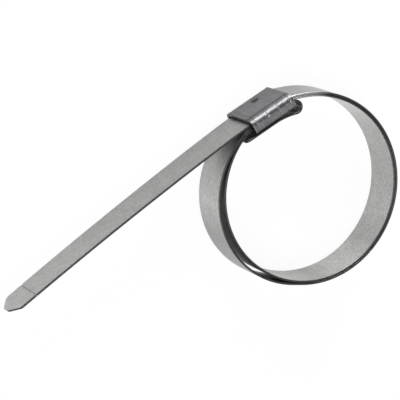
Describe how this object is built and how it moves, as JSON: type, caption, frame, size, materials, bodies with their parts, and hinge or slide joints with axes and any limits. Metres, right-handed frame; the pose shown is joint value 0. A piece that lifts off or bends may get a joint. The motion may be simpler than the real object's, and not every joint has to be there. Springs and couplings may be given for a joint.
{
  "type": "preformed band hose clamp",
  "caption": "Preformed hose clamp: a flat steel band coiled into a ring through a folded buckle, its inner end hooked under the buckle and its long free tail still on.",
  "frame": {"origin": "centre of the ring, halfway across the band's width", "axes": "+Z along the ring's axis, up as the clamp lies on its side; +Y from the ring's centre through the buckle's flat top face; the free tail runs towards -X"},
  "size_m": [0.1428, 0.067, 0.0198],
  "materials": {
    "band_steel": "cold-rolled, satin, with faint lengthwise grain",
    "buckle_steel": "folded sheet, darker satin"
  },
  "bodies": {
    "root": {"band": "band_steel", "buckle": "buckle_steel"}
  },
  "joints": []
}
